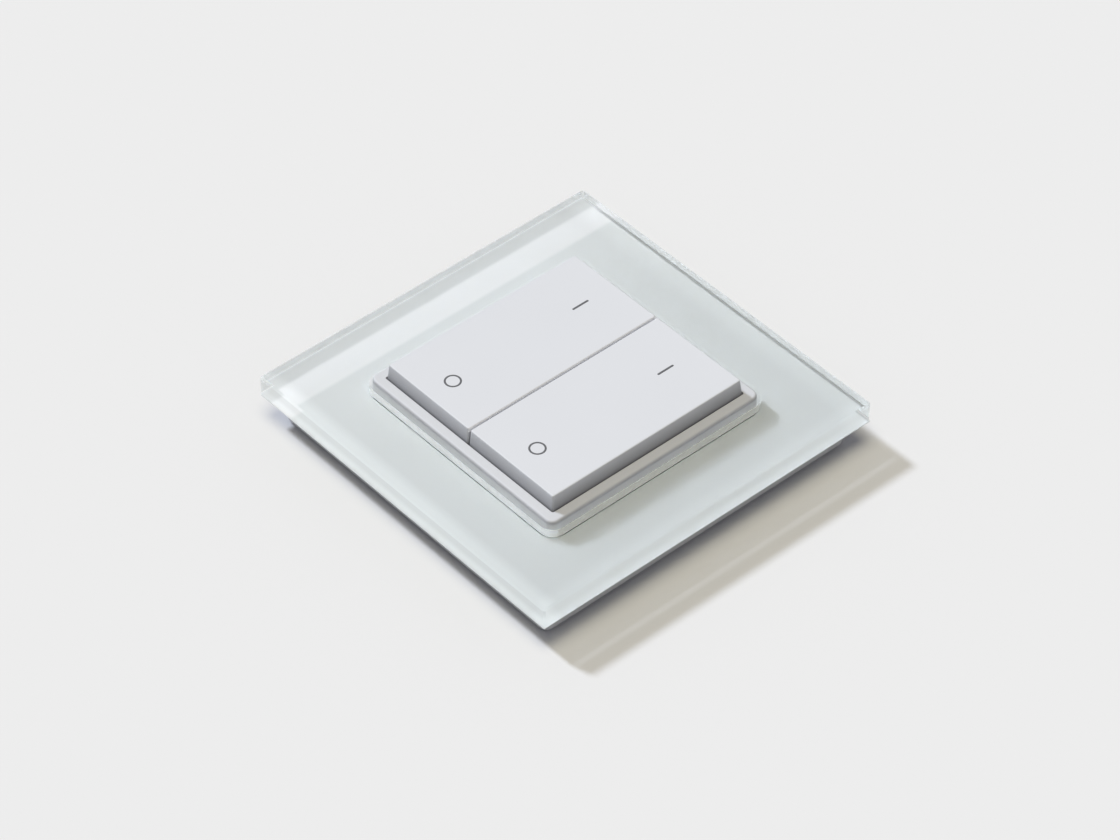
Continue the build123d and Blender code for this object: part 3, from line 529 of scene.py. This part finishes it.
# Shapes on grids
def gridMesh(name, points, closeAround=True, closeAcross=True):
    # points is an array of rows by columns by XYZ. Each cell between four neighbours is one face, and the
    # last row or column is joined to the first where the grid closes
    rows, columns = points.shape[:2]
    index = np.arange(rows * columns).reshape(rows, columns)
    if closeAround:
        index = np.vstack([index, index[:1]])
    if closeAcross:
        index = np.hstack([index, index[:, :1]])
    corners = [index[:-1, :-1], index[1:, :-1], index[1:, 1:], index[:-1, 1:]]
    faces = np.stack([corner.ravel() for corner in corners], axis=1)
    mesh = bpy.data.meshes.new(name)
    mesh.from_pydata(points.reshape(-1, 3).tolist(), [], faces.tolist())
    shape = bmesh.new()
    shape.from_mesh(mesh)
    bmesh.ops.remove_doubles(shape, verts=shape.verts, dist=1e-7)
    bmesh.ops.dissolve_degenerate(shape, edges=shape.edges, dist=1e-7)
    bmesh.ops.recalc_face_normals(shape, faces=shape.faces)
    shape.to_mesh(mesh)
    shape.free()
    piece = bpy.data.objects.new(name, mesh)
    bpy.context.scene.collection.objects.link(piece)
    return piece


def roundedSquare(half, corner, steps=12):
    # Four quarter circles about the corner centres, in order, joined by the straight sides
    quarters = np.arange(4)[:, None] * math.pi / 2
    angles = quarters + np.linspace(0, math.pi / 2, steps)[None, :]
    middles = quarters + math.pi / 4
    centres = (half - corner) * math.sqrt(2) * np.stack([np.cos(middles), np.sin(middles)], axis=2)
    arcs = corner * np.stack([np.cos(angles), np.sin(angles)], axis=2)
    return (centres + arcs).reshape(-1, 2)


# White print on the rear of the glass, in full contact with it
filmLook = {
    "grain": {"Grain Size": 0.0006, "Depth": 0.0, "Roughness": 0.9, "Drift": 0.015},
    "near": (0.790, 0.815, 0.812, 1.0),    # painted light: tone at -X, towards the key, which falls slowly to the one at +X
    "far": (0.710, 0.740, 0.740, 1.0),
    "rimLightGains": [("X", 1, 0.05), ("Y", -1, 0.14), ("Y", 1, 0.05)],    # painted light from the side faces: how much lighter it is at each rim, in full to the first reach, none past the second
    "edgeReach": (2.6 * millimetre, 5.0 * millimetre),     # in full to the first reach, none past the second
    "under": (0.35, 0.36, 0.36, 1.0),      # tone of its rear face
    "bright": (0.90, 0.91, 0.91, 1.0),
    "dim": (0.765, 0.785, 0.785, 1.0),
    "dimWidth": 2.9 * millimetre,          # painted shade: strip along the edge that faces the key
    "brightWidth": 9.0 * millimetre,       # painted light: where the light through glass face and edge adds up
    "blur": 0.8 * millimetre,
    "contact": 0.012 * millimetre,         # how far the print reaches into the glass
    "collarGap": 0.92 * millimetre,        # from the collar to the film
    "rimGap": 0.05 * millimetre,           # from the film to the glass's rim
    "outerCorner": 0.1 * millimetre,
    "innerCorner": 3.5 * millimetre,
}


def makeFilmMaterial(low, high):
    # Painted light and shade in the base colour: distance from the edge that faces the key picks the dim
    # strip, the bright strip or the rest, which falls in tone along X and gains near the other three edges
    material, tree, surface = newMaterial("rearFilm")
    grain = addNode(tree, "ShaderNodeGroup", filmLook["grain"], node_tree=mouldGrain)
    axes = objectAxes(tree)
    reach = mathNode(tree, "SUBTRACT", axes["X"], low.x)
    blur = filmLook["blur"] / 2
    entered = remap(tree, reach, filmLook["dimWidth"] - blur, filmLook["dimWidth"] + blur)
    passed = remap(tree, reach, filmLook["brightWidth"] - blur, filmLook["brightWidth"] + blur)
    strip = blendColour(tree, "MIX", entered, filmLook["dim"], filmLook["bright"])
    field = blendColour(tree, "MIX", remap(tree, axes["X"], low.x, high.x), filmLook["near"], filmLook["far"])
    zones = blendColour(tree, "MIX", passed, strip, field)
    full, none = filmLook["edgeReach"]
    for axis, sign, gain in filmLook["rimLightGains"]:
        outward = mathNode(tree, "MULTIPLY", axes[axis], sign)
        lift = remap(tree, outward, high.x - none, high.x - full, 1.0, 1.0 + gain)
        zones = blendColour(tree, "MULTIPLY", 1.0, zones, lift)
    under = mathNode(tree, "LESS_THAN", axes["Z"], low.z + filmLook["contact"])
    zones = blendColour(tree, "MIX", under, zones, filmLook["under"])
    colour = blendColour(tree, "MULTIPLY", 1.0, zones, grain.outputs["Tone"])
    sockets = {"Base Color": colour, "Roughness": grain.outputs["Roughness"], "Specular IOR Level": 0.0}
    shader = addNode(tree, "ShaderNodeBsdfPrincipled", sockets)
    tree.links.new(shader.outputs["BSDF"], surface)
    return material


def makeFilm():
    # A flat rectangular profile carried round between two rounded squares, the opening and the outline:
    # each corner of the profile is at a share of the way from one to the other, and at a height
    low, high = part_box("backing_film")
    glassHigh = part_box("glass_plate")[1]
    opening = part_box("collar")[1].x + filmLook["collarGap"]
    outer = roundedSquare(glassHigh.x - filmLook["rimGap"], filmLook["outerCorner"])
    inner = roundedSquare(opening, filmLook["innerCorner"])
    top = high.z + filmLook["contact"]
    share = np.array([0.0, 0.0, 1.0, 1.0])[None, :, None]
    heights = np.array([low.z, top, top, low.z])[None, :, None]
    flat = inner[:, None, :] * (1 - share) + outer[:, None, :] * share
    points = np.concatenate([flat, np.broadcast_to(heights, flat.shape[:2] + (1,))], axis=2)
    film = gridMesh("film_print", points)
    film.data.materials.append(makeFilmMaterial(low, high))
    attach(film, "housing")
    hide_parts("backing_film")


makeFilm()
print("glass and film made")

# Printed marks on the rockers: a ring at one end and a bar at the other
markLook = {
    "colour": (0.135, 0.138, 0.145, 1.0),
    "grain": {"Grain Size": 0.00008, "Depth": 0.000002, "Roughness": 0.55, "Drift": 0.08},
    "height": 0.012 * millimetre,
    "fromMiddle": 12.67 * millimetre,      # to the middle of ring and bar, along X
    "ringY": -18.12 * millimetre,
    "ringRadius": 1.6 * millimetre,
    "ringWidth": 0.42 * millimetre,
    "ringSteps": 96,
    "barY": 15.5 * millimetre,
    "barLength": 4.25 * millimetre,
    "barWidth": 0.50 * millimetre,
    "barSteps": 48,
}


def domeProfile(steps=9):
    # A low dome with a fuller top than an ellipse has: the share of the half width, squared, and the share
    # of the height, to the fourth power, add up to 1
    angles = np.linspace(0, math.pi, steps)
    return np.cos(angles), np.sin(angles) ** 0.5


def makeRing(name, x, y, top):
    # The dome profile carried round a circle
    across, lift = domeProfile()
    radius = markLook["ringRadius"] + across * markLook["ringWidth"] / 2
    turn = np.linspace(0, 2 * math.pi, markLook["ringSteps"], endpoint=False)[:, None]
    height = np.broadcast_to(top + lift * markLook["height"], (len(turn), len(radius)))
    return gridMesh(name, np.stack([x + radius * np.cos(turn), y + radius * np.sin(turn), height], axis=2))


def makeBar(name, x, y, top):
    # Rounded-end outline drawn in to its centre line as the dome rises: the first 9 of 17 points of the
    # profile go from the rim to the crest
    across, lift = (values[:9] for values in domeProfile(17))
    turn = np.linspace(0, 2 * math.pi, markLook["barSteps"], endpoint=False)[:, None]
    half = markLook["barWidth"] / 2
    straight = (markLook["barLength"] / 2 - half) * np.sign(np.sin(turn) + 1e-9)
    acrossBar = x + half * across * np.cos(turn)
    alongBar = y + straight + half * across * np.sin(turn)
    height = np.broadcast_to(top + lift * markLook["height"], acrossBar.shape)
    return gridMesh(name, np.stack([acrossBar, alongBar, height], axis=2), closeAcross=False)


def makeMarks():
    ink = grainedMaterial("markInk", mouldGrain, markLook)
    for side, sign in (("left", -1), ("right", 1)):
        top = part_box("rocker_" + side)[1].z
        x = sign * markLook["fromMiddle"]
        marks = [
            makeRing("mark_ring_" + side, x, markLook["ringY"], top),
            makeBar("mark_bar_" + side, x, markLook["barY"], top),
        ]
        for mark in marks:
            mark.data.materials.append(ink)
            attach(mark, "rocker_" + side)


makeMarks()
print("marks made")

# Floor, light and camera
stageLook = {
    "floorColour": (0.80, 0.80, 0.80, 1.0),
    "floorHalf": 6.0,
    "ambient": (0.225, 0.225, 0.250, 1.0),
}
# Turn is where a lamp stands, in degrees from +X towards +Y, and spread how wide it looks
lampLooks = {
    "key": {
        "turn": 194.7,
        "elevation": 45.5,
        "spread": 7.0,
        "strength": 2.123,
        "colour": (0.813, 0.869, 1.0),
    },
    "overhead": {
        "turn": -60.0,
        "elevation": 79.5,
        "spread": 33.0,
        "strength": 1.412,
        "colour": (1.0, 0.939, 0.740),
    },
}
cameraLook = {
    "turn": -41.373,                       # degrees from +X towards +Y
    "elevation": 43.89,
    "distance": 0.884765,
    "target": (0.003291, -0.004037, 0.008),
    "lens": 143.67,                        # in millimetres, as the sensor's width
    "sensor": 36.0,
    "nearest": 0.01,                       # nothing closer is drawn
}
bounceLimits = {
    "max_bounces": 16,
    "diffuse_bounces": 8,
    "glossy_bounces": 12,
    "transmission_bounces": 16,
}


def direction(turn, elevation):
    # Unit vector from the middle of the object towards a lamp or the camera
    turn, elevation = math.radians(turn), math.radians(elevation)
    level = math.cos(elevation)
    return Vector((math.cos(turn) * level, math.sin(turn) * level, math.sin(elevation)))


def makeFloor():
    # A level square of four faces at height 0
    half = stageLook["floorHalf"]
    side = np.linspace(-half, half, 3)
    across, along = np.meshgrid(side, side, indexing="ij")
    points = np.stack([across, along, np.zeros_like(across)], axis=2)
    floor = gridMesh("floor", points, closeAround=False, closeAcross=False)
    material, tree, surface = newMaterial("paleFloor")
    shader = addNode(tree, "ShaderNodeBsdfDiffuse", {"Color": stageLook["floorColour"]})
    tree.links.new(shader.outputs["BSDF"], surface)
    floor.data.materials.append(material)


def makeLight():
    # An even world and two suns
    world = bpy.data.worlds.new("studio")
    world.use_nodes = True
    world.node_tree.nodes["Background"].inputs["Color"].default_value = stageLook["ambient"]
    world.cycles.sampling_method = "NONE"  # its light then passes the glass bent, never straight
    bpy.context.scene.world = world
    for name, look in lampLooks.items():
        lamp = bpy.data.objects.new(name, bpy.data.lights.new(name, "SUN"))
        lamp.data.energy = look["strength"]
        lamp.data.color = look["colour"]
        lamp.data.angle = math.radians(look["spread"])
        lamp.visible_transmission = False  # its light passes the glass straight, never bent as well
        lamp.rotation_euler = direction(look["turn"], look["elevation"]).to_track_quat("Z", "Y").to_euler()
        bpy.context.scene.collection.objects.link(lamp)


def makeCamera():
    # It stands off the target in the given direction and looks back at it
    back = direction(cameraLook["turn"], cameraLook["elevation"])
    camera = bpy.data.objects.new("camera", bpy.data.cameras.new("camera"))
    camera.data.lens = cameraLook["lens"]
    camera.data.sensor_width = cameraLook["sensor"]
    camera.data.clip_start = cameraLook["nearest"]
    camera.location = Vector(cameraLook["target"]) + back * cameraLook["distance"]
    camera.rotation_euler = back.to_track_quat("Z", "Y").to_euler()
    bpy.context.scene.collection.objects.link(camera)
    bpy.context.scene.camera = camera


makeFloor()
makeLight()
makeCamera()
scene = bpy.context.scene
scene.view_settings.view_transform = "Standard"
for limit, count in bounceLimits.items():
    setattr(scene.cycles, limit, count)
print("stage and camera set")
